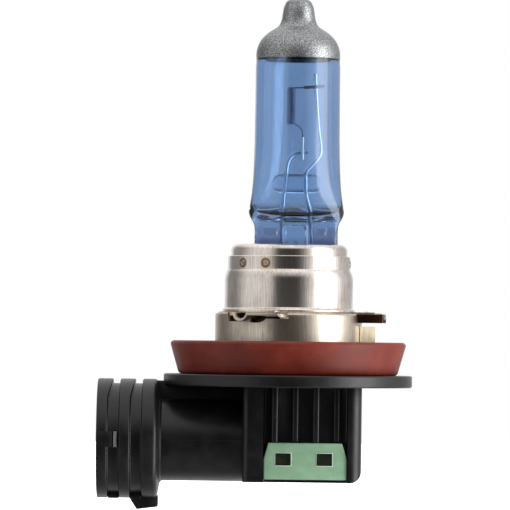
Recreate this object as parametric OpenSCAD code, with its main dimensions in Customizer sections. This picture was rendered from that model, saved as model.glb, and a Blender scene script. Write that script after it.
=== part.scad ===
// Halogen headlight bulb: a blue hard-glass capsule with one upright filament, held in a welded metal
// cap with three locking tabs, on a black plastic base whose plug housing turns off at a right angle.
// Z is the cap axis, and z = 0 is the plane of the tab bosses, which seat in the headlamp. The glass
// points to +Z, the plug mouth to -X, and the weld-chamber cover faces -Y.

/* [Glass capsule] */
// Outer diameter of the glass tube beside the filament
glass_d = 11; // [10.8:0.1:11.2]
// Wall thickness of the glass tube
glass_wall = 1.1; // [0.9:0.05:1.3]
// Height of the sealed tip
glass_top = 41.7; // [41.5:0.1:43]
// Offset of the glass axis from the cap axis
glass_shift = 0.85; // [0.6:0.05:1]
// Height of the lower edge of the grey coating on the tip
coating_edge = 34; // [33.6:0.1:35]
// Thickness of the flattened foot of the glass
pinch_t = 3.4; // [3:0.1:3.8]

/* [Filament and wires] */
// Height of the middle of the filament
filament_z = 27.8; // [27.3:0.1:28.2]
// Length of the filament coil
filament_len = 4.7; // [4.4:0.1:4.8]
// Outer diameter of the filament coil
coil_d = 1.2; // [1:0.05:1.3]
// Diameter of the two support wires
lead_d = 0.5; // [0.4:0.05:0.6]

/* [Metal cap] */
// Diameter of the tab ring, which centres the bulb in the headlamp
ring_d = 19; // [18.8:0.1:19.2]
// Outer diameter of the adjusting sleeve
sleeve_d = 16.64; // [16.6:0.02:16.8]
// Outer diameter of the ferrule
ferrule_d = 15.08; // [15:0.02:15.1]
// Height of the ferrule's top
ferrule_top = 9.95; // [9.8:0.05:10.2]
// Reach of the tabs from the axis
tab_reach = 12.6; // [12.3:0.1:12.8]
// Width of each tab
tab_w = 7.2; // [6.8:0.1:7.4]
// Thickness of the cap's sheet steel
sheet = 0.4; // [0.35:0.05:0.45]

/* [Gasket and base] */
// Largest diameter of the silicone gasket
gasket_d = 30.48; // [30:0.1:31]
// Diameter of the base flange
flange_d = 32.2; // [31.6:0.1:33]
// Thickness of the base flange
flange_t = 1.55; // [1.4:0.05:1.8]
// Depth of the body under the flange, front to back
body_d = 15; // [14.8:0.1:16]

/* [Plug housing] */
// Distance of the plug mouth from the lamp axis
plug_reach = 24.5; // [24.3:0.05:25.3]
// Height of the plug axis below the seating plane
plug_drop = 15.4; // [15.3:0.05:15.5]
// Height of the plug housing over its ribs
plug_h = 15.4; // [15.2:0.1:15.6]
// Width of the plug housing over its ribs
plug_w = 18.4; // [18:0.1:19]
// Width of a contact blade
blade_w = 2.8; // [2.8, 2.6]
// Thickness of a contact blade
blade_t = 0.8; // [0.8, 0.7]

/* [Hidden] */
$fn = 96;
eps = 0.01;

// Glass
tube_r = glass_d / 2;
dome_r = tube_r - 0.05;
dome_z = 33.4;
nub_r = 1.7;
flare_r = tube_r + 0.69;
pinch_r = tube_r - 0.05;
pinch_foot = 2.6;
coating_t = 0.06;

// Filament and wires. The leg sleeves sit in front of the wires that they are welded to.
coil_top = filament_z + filament_len / 2;
coil_foot = filament_z - filament_len / 2;
leg_d = 0.17;
leg_sleeve_d = 0.42;
wire_sides = 8;
leg_y = -(lead_d + leg_sleeve_d) / 2;
lower_leg_x = 1.52;

// Metal cap
ferrule_r = ferrule_d / 2;
sleeve_r = sleeve_d / 2;
ring_r = ring_d / 2;
band_r = ferrule_r + sheet;
band_z = 6.6;
band_top = 8.37;
shoulder = 0.8;
seat_top = 1;
tab_angles = [0, 120, 248];
weld_angles = [18, 110, 136, 221, 247, 352];
weld_z = 7.4;
boss_shift = -1.6;
boss_r = 1;
ear_reach = 11.15;
ring_foot = -6;
ring_foot_w = 1.9;
stop_z = [-4.6, -0.6];
stop_face = [1.8, 2.6];
stop_reach = ring_r + 1.7;
clamp_z = 5;
finger_w = 2.2;
finger_h = 3.6;
finger_x = [-2.9, 2.9];

// Gasket and base
gasket_r = gasket_d / 2;
gasket_top = -2.65;
flange_top = -6.95;
flange_foot = flange_top - flange_t;
hub_r = 12.6;
hub_top = gasket_top - 0.1;
body_left = -5.73;
body_right = 9.5;
body_foot = -20.75;
body_corner = 1.2;
recess_left = -3.1;
recess_right = 7.7;
recess_d = 1.3;
rib_w = 0.8;
rib_pitch = 2.65;
rib_first = -1.66;
rib_foot = -15.6;
chamber_left = -2.4;
chamber_right = 7;
chamber_back = 2.1;
chamber_foot = -20.1;
chamber_top = -9.5;
wall_t = 0.8;
front = -body_d / 2;

// Plug housing. Grooves are [near side, far side] as distances from the mouth.
plug_z = -plug_drop;
plug_back = -16.5;
groove_d = 0.6;
plug_wall = 1.2;
neck_h = 10.6;
neck_w = 14;
groove_spans = [[1.4, 2.9], [4.3, 5.8]];
socket_foot = -13;
blade_tip = -22.6;
blade_y = 3.5;
ear_y = front + 2.6;
ear_z = [-19.6, -15];
pads = [[-1.9, 1], [3.6, 6.1]];
pad_x = [-0.38, 4.87];
cover_top = -15.65;
cover_shoulder = -17.7;
// The cover's foot stands this far above the body's
cover_gap = 0.4;
cover_boss_top = -16.25;
window_z = -18.55;
window_w = 2;
window_h = 1.57;
key_len = 2.75;
key_w = 1.9;
rail_len = 7.6;
web_w = 6.8;
tip_len = 0.8;
lead_y = ear_y + blade_t + lead_d / 2;

// Centre lines of the two support wires, from the weld pad up through the pinch to the filament
lead_foot = -19.2;
long_path = [[pad_x[1], lead_y, lead_foot], [pad_x[1], lead_y, -15], [2.95, 0, pinch_foot - 0.6],
             [2.87, 0, 10.2], [2.71, 0, 12.5], [2.58, 0, 14.2], [2.06, 0, 16.4], [1.96, 0, 18.2],
             [1.96, 0, 19.3], [2.1, 0, 19.7], [3.75, 0, 21.4], [3.91, 0, 22],
             [3.59, 0, coil_foot - 0.55], [3.08, 0, coil_top + 1.95]];
short_path = [[pad_x[0], lead_y, lead_foot], [pad_x[0], lead_y, -15], [-0.95, 0, pinch_foot - 0.6],
              [-1, 0, 10.2], [-1.02, 0, 12.3], [-0.85, 0, 14.9], [-0.72, 0, 16.7], [-0.57, 0, 18],
              [-0.45, 0, 19.3], [-0.39, 0, 20.4], [-0.11, 0, 21.1], [0.3, 0, 21.55],
              [0.95, 0, 21.87], [2.28, 0, 21.95]];
upper_leg = [[-0.4, 0, coil_top - 0.05], [0.3, -0.25, coil_top + 0.06], [1.4, leg_y, coil_top + 0.1],
             [4, leg_y, coil_top + 0.3]];
upper_sleeve = [[1.64, leg_y, coil_top + 0.12], [4.24, leg_y, coil_top + 0.32]];
lower_leg = [[0.3, -0.2, coil_foot + 0.1], [0.95, -0.35, coil_foot - 0.2], [1.38, leg_y, coil_foot - 0.75],
             [lower_leg_x, leg_y, coil_foot - 1.4], [lower_leg_x, leg_y, coil_foot - 4.4]];

function unit(v) = v / norm(v);

// Direction of a path at point i
function heading(path, i) =
    unit(path[min(i + 1, len(path) - 1)] - path[max(i - 1, 0)]);

// A round wire of diameter d along a path that never runs parallel to Y
module wire(path, d) {
    n = wire_sides;
    last = len(path) - 1;
    rings = [for (i = [0 : last])
             let (t = heading(path, i), side = unit(cross([0, 1, 0], t)), up = cross(t, side))
             for (k = [0 : n - 1])
             path[i] + d / 2 * (side * cos(360 * k / n) + up * sin(360 * k / n))];
    walls = [for (i = [0 : last - 1]) for (k = [0 : n - 1]) let (next = (k + 1) % n)
             [i * n + k, (i + 1) * n + k, (i + 1) * n + next, i * n + next]];
    polyhedron(rings, concat([[for (k = [0 : n - 1]) k]], walls,
                             [[for (k = [n - 1 : -1 : 0]) last * n + k]]));
}

// Points on an arc about [x, z], from angle a to angle b
function arc(x, z, r, a, b, steps) =
    [for (i = [0 : steps]) let (t = a + (b - a) * i / steps) [x + r * cos(t), z + r * sin(t)]];

// Half outline of the domed top and its sealed tip, grown outwards by g
function tip_outline(g) = concat(
    [[dome_r + g, dome_z], [5.42 + g, 34.6], [5.3 + g, 35.3], [5.06 + g, 35.95], [4.78 + g, 36.45],
     [4.34 + g, 36.95], [3.8 + g, 37.43], [2.98 + g, 37.95], [2.59 + g, 38.21], [2.27 + g, 38.75],
     [2.05 + g, 39.4], [nub_r + 0.15 + g, glass_top - 0.9]],
    arc(nub_r - 0.6, glass_top - 0.7, 0.7 + g, 20, 90, 4));

// Half outline of the glass seen from the front, above the flat pinch
function front_outline() = concat(
    [[0, pinch_foot], [pinch_r, pinch_foot], [pinch_r, 11.8], [tube_r + 0.08, 12.7],
     [flare_r - 0.12, 13.5], [flare_r, 14], [flare_r - 0.06, 14.6], [tube_r + 0.45, 15.7],
     [tube_r + 0.27, 17], [tube_r + 0.12, 19.6], [tube_r + 0.03, 23.5]],
    tip_outline(0), [[0, glass_top]]);

// Depth of the glass seen from the side, with half depth h at the pinch and w elsewhere
function side_outline(h, w, foot, top) = [
    [h, foot], [h, 12.3 + 1.6 * (tube_r + 1 - w)], [h + 0.7, 13.4 + (tube_r + 1 - w)],
    [0.75 * w, 15.2 + (tube_r + 1 - w)], [0.92 * w, 17.2 + (tube_r + 1 - w)], [w, 19.5], [w, top]];

// The slab that squeezes a round glass shape flat towards the pinch
module squeeze(h, w, foot, top) {
    half = side_outline(h, w, foot, top);
    rotate([90, 0, 90])
        linear_extrude(height = 4 * tube_r, center = true)
            polygon(concat(half, [for (i = [len(half) - 1 : -1 : 0]) [-half[i][0], half[i][1]]]));
}

// Hollow inside of the glass
module cavity() {
    bore_r = tube_r - glass_wall;
    intersection() {
        rotate_extrude()
            polygon(concat([[0, 14.6], [2.2, 14.3], [4.2, 13.9], [bore_r + 0.5, 14.8],
                            [bore_r + 0.4, 15.8], [bore_r + 0.15, 18.5], [bore_r, 23.5]],
                           arc(0, dome_z, dome_r - glass_wall, 0, 90, 10)));
        squeeze(0.6, tube_r - glass_wall + 1, 13, glass_top);
    }
}

module glass_envelope() color("#6f93c4", 0.55)
    difference() {
        translate([glass_shift, 0, 0]) difference() {
            intersection() {
                rotate_extrude() polygon(front_outline());
                squeeze(pinch_t / 2, tube_r + 1, 0, glass_top + 1);
            }
            cavity();
        }
        wire(long_path, lead_d);
        wire(short_path, lead_d);
    }

module top_coating() color("#8f8f8c")
    translate([glass_shift, 0, 0])
        rotate_extrude() difference() {
            intersection() {
                polygon(concat([[0, dome_z], [dome_r + coating_t, dome_z]], tip_outline(coating_t)));
                translate([0, coating_edge]) square([tube_r + 1, glass_top]);
            }
            polygon(concat([[0, dome_z - 1], [dome_r, dome_z - 1]], tip_outline(0), [[0, glass_top]]));
        }

module filament() color("#4a4850") {
    translate([0, 0, coil_foot]) difference() {
        cylinder(d = coil_d, h = filament_len);
        translate([0, 0, -1]) cylinder(d = coil_d - 2 * leg_d, h = filament_len + 2);
    }
    wire(upper_leg, leg_d);
    wire(lower_leg, leg_d);
}

module upper_leg_sleeve() color("#35343a") difference() {
    wire(upper_sleeve, leg_sleeve_d);
    wire(upper_leg, leg_d);
}

module lower_leg_sleeve() color("#b8b8c0") difference() {
    translate([lower_leg_x, leg_y, coil_foot - 4.5]) cylinder(d = leg_sleeve_d, h = 2.9);
    wire(lower_leg, leg_d);
}

module long_support_wire() color("#8a8c96") wire(long_path, lead_d);

module short_support_wire() color("#8a8c96") wire(short_path, lead_d);

// A glass bead that ties the two support wires together below the filament
module glass_bridge() color("#8fb0d8", 0.6) difference() {
    translate([0.84, 0, 18]) rotate([0, 90, 0]) union() {
        cylinder(d = 2.6, h = 2 * 1.86, center = true);
        for (end = [-1.86, 1.86]) translate([0, 0, end]) sphere(d = 2.6);
    }
    wire(long_path, lead_d);
    wire(short_path, lead_d);
}

// A plate with a slot that grips the pinch, and four spring fingers bent up against its faces
module pinch_clamp() color("#b9b2a8") {
    slot_w = 2 * pinch_r + 0.1;
    difference() {
        translate([0, 0, clamp_z]) cylinder(r = ferrule_r - sheet - 0.05, h = sheet);
        translate([glass_shift - slot_w / 2, -pinch_t / 2 - 0.05, clamp_z - 1])
            cube([slot_w, pinch_t + 0.1, 3]);
    }
    for (side = [0, 1]) mirror([0, side, 0])
        for (x = finger_x)
            translate([glass_shift + x - finger_w / 2, pinch_t / 2 + eps, clamp_z])
                cube([finger_w, sheet, finger_h]);
}

module ferrule() color("#c9c1b5") difference() {
    rotate_extrude() difference() {
        polygon(concat([[0, 2.2], [ferrule_r, 2.2]],
                       arc(ferrule_r - shoulder, ferrule_top - shoulder, shoulder, 0, 90, 8),
                       [[0, ferrule_top]]));
        polygon(concat([[0, 0], [ferrule_r - sheet, 0]],
                       arc(ferrule_r - shoulder, ferrule_top - shoulder, shoulder - sheet, 0, 90, 8),
                       [[0, ferrule_top - sheet]]));
    }
    translate([glass_shift - pinch_r - 0.3, -pinch_t / 2 - 0.3, ferrule_top - 2])
        cube([2 * pinch_r + 0.6, pinch_t + 0.6, 4]);
}

// A sleeve that slides on the ferrule, with a weld band above and a foot flange below
module adjusting_sleeve() color("#cfc6ba") {
    rotate_extrude() polygon(concat(
        [[ferrule_r + 0.02, band_top], [ferrule_r + 0.02, band_z - 0.1], [sleeve_r - sheet, band_z - 1.3],
         [sleeve_r - sheet, seat_top], [sleeve_r + 0.28, seat_top]],
        arc(sleeve_r + 0.1, seat_top + 0.3, 0.25, -30, 90, 4),
        [[sleeve_r, seat_top + 0.6], [sleeve_r, band_z - 0.9], [sleeve_r - 0.12, band_z - 0.45],
         [band_r, band_z], [band_r, band_top]]));
    // Thin ears that lie on the three tabs
    for (a = tab_angles) rotate(a)
        translate([sleeve_r - sheet / 2, -2.4, seat_top]) cube([ear_reach - sleeve_r, 4.8, 0.25]);
}

// One locking tab, with a boss pressed down to the seating plane
module tab() {
    bevel = 0.9;
    difference() {
        translate([0, 0, seat_top - sheet]) linear_extrude(height = sheet)
            polygon([[ring_r - 1, -tab_w / 2], [tab_reach - bevel, -tab_w / 2],
                     [tab_reach, -tab_w / 2 + bevel], [tab_reach, tab_w / 2 - bevel],
                     [tab_reach - bevel, tab_w / 2], [ring_r - 1, tab_w / 2]]);
        translate([ring_r + 0.2, boss_shift, 0]) cube([tab_reach, 2 * (boss_r - 0.05), 4], center = true);
    }
    translate([ring_r + 0.2 - tab_reach / 2, boss_shift, 0]) intersection() {
        translate([0, 0, 1]) rotate([0, 90, 0]) difference() {
            cylinder(r = boss_r, h = tab_reach);
            translate([0, 0, -1]) cylinder(r = boss_r - sheet, h = tab_reach + 2);
        }
        translate([tab_reach / 2 - 0.2, -boss_r - 1, -eps])
            cube([tab_reach - ring_r - 0.4, 2 * boss_r + 2, seat_top + eps]);
    }
}

// A stop that stands out of the ring and narrows outwards
module stop()
    translate([0, 0, stop_z[0]]) linear_extrude(height = stop_z[1] - stop_z[0])
        polygon([[ring_r - sheet / 2, -stop_face[1]], [ring_r, -stop_face[1]], [stop_reach, -stop_face[0]],
                 [stop_reach, stop_face[0]], [ring_r, stop_face[1]], [ring_r - sheet / 2, stop_face[1]]]);

// The ring that centres the bulb, with its three tabs, its stop and a foot moulded into the base
module tab_ring() color("#c4bbae") {
    rotate_extrude() polygon(concat(
        [[ring_r - ring_foot_w, ring_foot], [ring_r, ring_foot]],
        arc(ring_r - 0.35, seat_top - 0.35, 0.35, 0, 90, 4),
        [[ferrule_r + 0.4, seat_top], [ferrule_r + 0.4, seat_top - sheet],
         [ring_r - sheet, seat_top - sheet], [ring_r - sheet, ring_foot + sheet],
         [ring_r - ring_foot_w, ring_foot + sheet]]));
    for (a = tab_angles) rotate(a) tab();
    stop();
}

// Spot welds between the sleeve and the ferrule
module ferrule_welds() color("#8d7a6d")
    for (a = weld_angles) rotate(a) difference() {
        translate([band_r - 0.3, 0, weld_z]) rotate([0, 90, 0]) cylinder(d1 = 1.4, d2 = 1, h = 0.42);
        cylinder(r = band_r, h = 2 * weld_z, $fn = 720);
    }

// Spot welds between the sleeve's ears and the tabs
module foot_welds() color("#8d7a6d")
    for (a = tab_angles) rotate(a)
        translate([ring_r + 0.6, 0.8, seat_top + 0.25]) cylinder(d1 = 1.2, d2 = 0.9, h = 0.1);

module gasket() color("#8c3a30")
    rotate_extrude() polygon(concat(
        [[hub_r, flange_top], [gasket_r - 1.5, flange_top], [gasket_r - 1.1, flange_top + 0.15],
         [gasket_r - 0.94, flange_top + 0.5]],
        arc(gasket_r - 0.3, gasket_top - 0.3, 0.3, 0, 90, 4),
        [[hub_r + 0.6, gasket_top], [hub_r + 0.45, gasket_top - 0.35], [hub_r, gasket_top - 0.35]]));

// Rectangle with round corners, exact arcs
module round_rect(x0, x1, y0, y1, r) {
    translate([x0 + r, y0]) square([x1 - x0 - 2 * r, y1 - y0]);
    translate([x0, y0 + r]) square([x1 - x0, y1 - y0 - 2 * r]);
    for (x = [x0 + r, x1 - r]) for (y = [y0 + r, y1 - r]) translate([x, y]) circle(r);
}

// Flat-sided oval of width w and height h, run along X from x0 to x1 at height z
module oval_bar(x0, x1, z, w, h) {
    translate([x0, 0, z]) rotate([90, 0, 90]) linear_extrude(height = x1 - x0) {
        square([w - h, h], center = true);
        for (side = [-1, 1]) translate([side * (w - h) / 2, 0]) circle(d = h);
    }
}

// The ribbed plug housing, its front key, its bottom rail and its latch ramp
module plug_shell() {
    mouth = -plug_reach;
    difference() {
        oval_bar(mouth, plug_back, plug_z, plug_w, plug_h);
        for (g = groove_spans) difference() {
            oval_bar(mouth + g[0], mouth + g[1], plug_z, plug_w + 4, plug_h + 4);
            oval_bar(mouth + g[0] - 1, mouth + g[1] + 1, plug_z, plug_w - 2 * groove_d,
                     plug_h - 2 * groove_d);
        }
    }
    translate([mouth, -plug_w / 2 - 0.1, plug_z - key_w / 2]) cube([key_len, 1.2, key_w]);
    translate([mouth + 0.3, -3, plug_z - plug_h / 2 - 0.05]) cube([rail_len, 6, 1]);
    translate([0, 2.2, 0]) rotate([90, 0, 0]) linear_extrude(height = 4.4)
        polygon([[-20.3, plug_z - plug_h / 2 + 0.3], [-20.3, plug_z - plug_h / 2],
                 [-19.35, plug_z - plug_h / 2 - 1.5], [-16.6, plug_z - plug_h / 2 - 1],
                 [-16.6, plug_z - plug_h / 2 + 0.3]]);
}

// The chamber where the wires meet the contacts, open at the lower front and up through the hub
module weld_chamber() {
    inner_front = front + recess_d + wall_t;
    translate([chamber_left, inner_front, chamber_foot])
        cube([chamber_right - chamber_left, chamber_back - inner_front, chamber_top - chamber_foot]);
    translate([chamber_left, front, chamber_foot])
        cube([chamber_right - chamber_left, recess_d + wall_t + eps, cover_top - 0.2 - chamber_foot]);
    translate([-2.2, -3.8, chamber_top - eps]) cube([6.8, 5, hub_top - chamber_top + 1]);
}

module base_housing() color("#1d1d1f") difference() {
    union() {
        translate([0, 0, flange_top - eps]) cylinder(r = hub_r, h = hub_top - flange_top + eps);
        translate([0, 0, flange_foot]) cylinder(d = flange_d, h = flange_t);
        difference() {
            translate([0, 0, body_foot]) linear_extrude(height = flange_foot - body_foot + eps)
                round_rect(body_left, body_right, front, -front, body_corner);
            translate([recess_left, front - 1, body_foot - 1])
                cube([recess_right - recess_left, recess_d + 1, flange_foot - body_foot + 1]);
        }
        for (i = [0 : 3])
            translate([rib_first + i * rib_pitch - rib_w / 2, front + 0.2, rib_foot])
                cube([rib_w, recess_d, flange_foot - rib_foot + eps]);
        oval_bar(plug_back - 1, body_left + 2, plug_z - 0.1, neck_w, neck_h);
        translate([plug_back + 0.6, -web_w / 2, plug_z])
            cube([body_left - plug_back, web_w, flange_foot - plug_z]);
        plug_shell();
    }
    oval_bar(-plug_reach - 1, plug_back - plug_wall, plug_z, plug_w - 2 * (groove_d + plug_wall),
             plug_h - 2 * (groove_d + plug_wall));
    oval_bar(plug_back - plug_wall - eps, socket_foot, plug_z, 11.2, 5);
    weld_chamber();
    // Groove that holds the foot of the tab ring
    rotate_extrude() polygon([
        [ring_r - ring_foot_w, ring_foot], [ring_r, ring_foot], [ring_r, hub_top + 1],
        [ring_r - sheet, hub_top + 1], [ring_r - sheet, ring_foot + sheet],
        [ring_r - ring_foot_w, ring_foot + sheet]]);
    stop();
    front_blade();
    rear_blade();
}

// Snap-in cover of the weld chamber, with two windows over the weld pads
module terminal_cover() color("#8bb08d") {
    plate_front = front + 0.2;
    plate_back = front + recess_d;
    difference() {
        union() {
            translate([0, plate_back, 0]) rotate([90, 0, 0])
                linear_extrude(height = plate_back - plate_front)
                polygon([[chamber_left, cover_top], [chamber_right, cover_top],
                         [recess_right - 0.05, cover_shoulder], [recess_right - 0.05, body_foot + cover_gap],
                         [recess_left + 0.05, body_foot + cover_gap], [recess_left + 0.05, cover_shoulder]]);
            translate([chamber_left + 0.1, plate_back - eps, chamber_foot + 0.1])
                cube([chamber_right - chamber_left - 0.2, 0.6, cover_boss_top - chamber_foot]);
        }
        for (x = pad_x) translate([x - window_w / 2, front - 1, window_z]) cube([window_w, 4, window_h]);
        translate([chamber_left + 0.9, plate_back, chamber_foot + 0.9])
            cube([chamber_right - chamber_left - 1.8, 2, cover_boss_top - 1.6 - chamber_foot]);
    }
}

// A contact blade from the socket to the chamber, with a pad bent down behind its window
module blade_bar(x1) {
    translate([blade_tip + tip_len, -blade_w / 2, plug_z - blade_t / 2])
        cube([x1 - blade_tip - tip_len, blade_w, blade_t]);
    translate([0, blade_w / 2, plug_z]) rotate([90, 0, 0]) linear_extrude(height = blade_w)
        polygon([[blade_tip, -blade_t / 4], [blade_tip, blade_t / 4], [blade_tip + tip_len, blade_t / 2],
                 [blade_tip + tip_len, -blade_t / 2]]);
}

module pad(span) {
    translate([span[0], ear_y, ear_z[0]]) cube([span[1] - span[0], blade_t, ear_z[1] - ear_z[0]]);
}

module front_blade() {
    translate([0, -blade_y, 0]) blade_bar(-1.6);
    pad(pads[0]);
}

module rear_blade() {
    translate([0, blade_y, 0]) blade_bar(4);
    translate([2.8, ear_y, plug_z - blade_t / 2]) cube([1.2, blade_y - ear_y, blade_t]);
    pad(pads[1]);
}

module contact_blade_front() color("#c9c6be") front_blade();

module contact_blade_rear() color("#c9c6be") rear_blade();

// Weld nuggets that join each support wire to its pad
module lead_welds() color("#8d7a6d")
    for (i = [0, 1]) difference() {
        translate([pad_x[i], lead_y, -18]) sphere(r = 0.5);
        pad(pads[i]);
        wire(i == 0 ? short_path : long_path, lead_d);
    }

glass_envelope();
top_coating();
filament();
upper_leg_sleeve();
lower_leg_sleeve();
long_support_wire();
short_support_wire();
glass_bridge();
pinch_clamp();
ferrule();
adjusting_sleeve();
tab_ring();
ferrule_welds();
foot_welds();
gasket();
base_housing();
terminal_cover();
contact_blade_front();
contact_blade_rear();
lead_welds();
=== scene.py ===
import math

import bpy
from mathutils import Matrix, Vector


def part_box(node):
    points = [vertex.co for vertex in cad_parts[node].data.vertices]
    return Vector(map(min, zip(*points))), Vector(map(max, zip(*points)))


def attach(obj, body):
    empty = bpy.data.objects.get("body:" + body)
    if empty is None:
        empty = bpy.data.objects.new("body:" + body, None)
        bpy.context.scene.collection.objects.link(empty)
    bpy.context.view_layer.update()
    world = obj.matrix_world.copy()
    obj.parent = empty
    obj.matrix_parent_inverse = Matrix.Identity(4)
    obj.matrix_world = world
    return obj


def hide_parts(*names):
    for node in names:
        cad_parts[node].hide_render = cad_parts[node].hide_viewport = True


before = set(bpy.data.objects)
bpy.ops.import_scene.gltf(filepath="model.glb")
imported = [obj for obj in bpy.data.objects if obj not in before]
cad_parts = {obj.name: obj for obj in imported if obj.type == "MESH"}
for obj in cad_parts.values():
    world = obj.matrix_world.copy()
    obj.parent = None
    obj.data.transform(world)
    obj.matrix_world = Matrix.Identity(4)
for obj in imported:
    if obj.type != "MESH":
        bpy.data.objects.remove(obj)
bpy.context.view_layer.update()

# Pieces are modelled in millimetres and shrunk to metres when they are finished.
MM = 0.001


def box_mm(node):
    """The lowest and highest corners of a CAD node, in millimetres."""
    low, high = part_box(node)
    return low / MM, high / MM


# ---------------------------------------------------------------------------
# Sizes, from the frame where it holds them
# ---------------------------------------------------------------------------

GLASS_LOW, GLASS_HIGH = box_mm("glass_envelope")
GLASS_X = (GLASS_LOW.x + GLASS_HIGH.x) / 2
TIP_TOP = GLASS_HIGH.z
PINCH_FOOT = GLASS_LOW.z
COATING_LOW, COATING_HIGH = box_mm("top_coating")
COATING_EDGE = COATING_LOW.z
TUBE_R = (COATING_HIGH.x - COATING_LOW.x) / 2
DOME_Z = 33.4
GLASS_WALL = 1.1

FERRULE_LOW, FERRULE_HIGH = box_mm("ferrule")
FERRULE_R = FERRULE_HIGH.x
FERRULE_TOP = FERRULE_HIGH.z
SHEET = 0.4
BAND_R = FERRULE_R + SHEET
BAND_TOP = box_mm("adjusting_sleeve")[1].z
BAND_FOOT = 6.6
SLEEVE_R = 8.32
RING_R = 9.5
SEAT_TOP = box_mm("adjusting_sleeve")[0].z
RING_FOOT = box_mm("tab_ring")[0].z
TAB_REACH = box_mm("tab_ring")[1].x
TAB_W = 7.2
TAB_ANGLES = (0, 120, 248)
BOSS_SHIFT = 1.72
WELD_ANGLES = (18, 110, 136, 221, 247, 352)
WELD_Z = 7.4

GASKET_LOW, GASKET_HIGH = box_mm("gasket")
GASKET_R = GASKET_HIGH.x
GASKET_TOP = GASKET_HIGH.z
FLANGE_TOP = GASKET_LOW.z
HUB_R = 12.6
HOUSING_LOW, HOUSING_HIGH = box_mm("base_housing")
FLANGE_R = HOUSING_HIGH.x
HUB_TOP = HOUSING_HIGH.z
FLANGE_FOOT = FLANGE_TOP - 1.55
BODY_LEFT, BODY_RIGHT = -5.8, 9.5
BODY_FRONT, BODY_BACK = -7.5, 7.5
BODY_FOOT = -20.75
RECESS_LEFT, RECESS_RIGHT = -3.1, 7.7
RECESS_Y = BODY_FRONT + 1.3
PLUG_MOUTH = HOUSING_LOW.x
PLUG_BACK = -16.5
PLUG_Z = -15.4
PLUG_HALF_H, PLUG_HALF_W = 7.7, 9.2
NECK_HALF_H, NECK_HALF_W = 5.3, 7.0

COVER_LOW, COVER_HIGH = box_mm("terminal_cover")
WINDOW_X = (-0.55, 4.74)
WINDOW_FOOT, WINDOW_TOP = -18.55, -16.98

COIL_R = 0.6
COIL_WIRE = 0.15
COIL_TOP = 30.15
COIL_FOOT = 25.45
COIL_TURNS = 18
LEAD_D = 0.5
LEG_SLEEVE_D = 0.42
LEG_Y = -(LEAD_D + LEG_SLEEVE_D) / 2


# ---------------------------------------------------------------------------
# Modelling
# ---------------------------------------------------------------------------

def begin():
    """Goes to object mode with nothing selected, ready for a new primitive."""
    if bpy.context.mode != "OBJECT":
        bpy.ops.object.mode_set(mode="OBJECT")
    bpy.ops.object.select_all(action="DESELECT")


def named(name):
    """Names the primitive that was just added."""
    piece = bpy.context.active_object
    piece.name = name
    piece.data.name = name
    return piece


def pick(*pieces):
    """Selects these pieces only; the first is the active one."""
    begin()
    for piece in pieces:
        piece.select_set(True)
    bpy.context.view_layer.objects.active = pieces[0]
    return pieces[0]


def pick_verts(piece, test):
    """In edit mode, selects the vertices that pass the test."""
    bpy.ops.mesh.select_mode(type="VERT")
    bpy.ops.mesh.select_all(action="DESELECT")
    bpy.ops.object.mode_set(mode="OBJECT")
    for vertex in piece.data.vertices:
        vertex.select = test(vertex.co, vertex.index)
    bpy.ops.object.mode_set(mode="EDIT")


def arc(x, z, r, start, end, steps=6):
    """Points on an arc about (x, z), angles in degrees."""
    angles = [math.radians(start + (end - start) * i / steps) for i in range(steps + 1)]
    return [(x + r * math.cos(a), z + r * math.sin(a)) for a in angles]


def drawn(name, outline, closed):
    """Draws an outline in the XZ plane by extruding one vertex from point to point. Stays in edit mode."""
    begin()
    bpy.ops.mesh.primitive_plane_add(size=1)
    piece = named(name)
    bpy.ops.object.mode_set(mode="EDIT")
    bpy.ops.mesh.merge(type="CENTER")
    bpy.ops.transform.translate(value=(outline[0][0], 0, outline[0][1]))
    for here, there in zip(outline, outline[1:]):
        step = (there[0] - here[0], 0, there[1] - here[1])
        bpy.ops.mesh.extrude_region_move(TRANSFORM_OT_translate={"value": step})
    if closed:
        last = len(outline) - 1
        pick_verts(piece, lambda co, i: i in (0, last))
        bpy.ops.mesh.edge_face_add()
    bpy.ops.mesh.select_all(action="SELECT")
    return piece


def tidy_mesh():
    """In edit mode, merges doubles and turns every face outwards, then leaves edit mode."""
    bpy.ops.mesh.select_all(action="SELECT")
    bpy.ops.mesh.remove_doubles(threshold=0.002)
    bpy.ops.mesh.normals_make_consistent(inside=False)
    bpy.ops.object.mode_set(mode="OBJECT")


def turned(name, outline, axis_x=0.0, steps=160, closed=True):
    """A piece turned about a vertical axis. An outline that isn't closed starts and ends on the axis."""
    piece = drawn(name, [(x + axis_x, z) for x, z in outline], closed)
    bpy.ops.mesh.spin(steps=steps, angle=2 * math.pi, center=(axis_x, 0, 0), axis=(0, 0, 1))
    tidy_mesh()
    return piece


def plate(name, outline, y_front, y_back):
    """A flat piece with an outline in XZ, from y_front to y_back."""
    piece = drawn(name, outline, True)
    bpy.ops.mesh.edge_face_add()
    bpy.ops.transform.translate(value=(0, y_front, 0))
    bpy.ops.mesh.extrude_region_move(TRANSFORM_OT_translate={"value": (0, y_back - y_front, 0)})
    tidy_mesh()
    return piece


def block(name, low, high):
    """A box between two corners."""
    begin()
    centre = [(a + b) / 2 for a, b in zip(low, high)]
    size = [b - a for a, b in zip(low, high)]
    bpy.ops.mesh.primitive_cube_add(size=1, location=centre, scale=size)
    bpy.ops.object.transform_apply(location=True, rotation=True, scale=True)
    return named(name)


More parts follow.
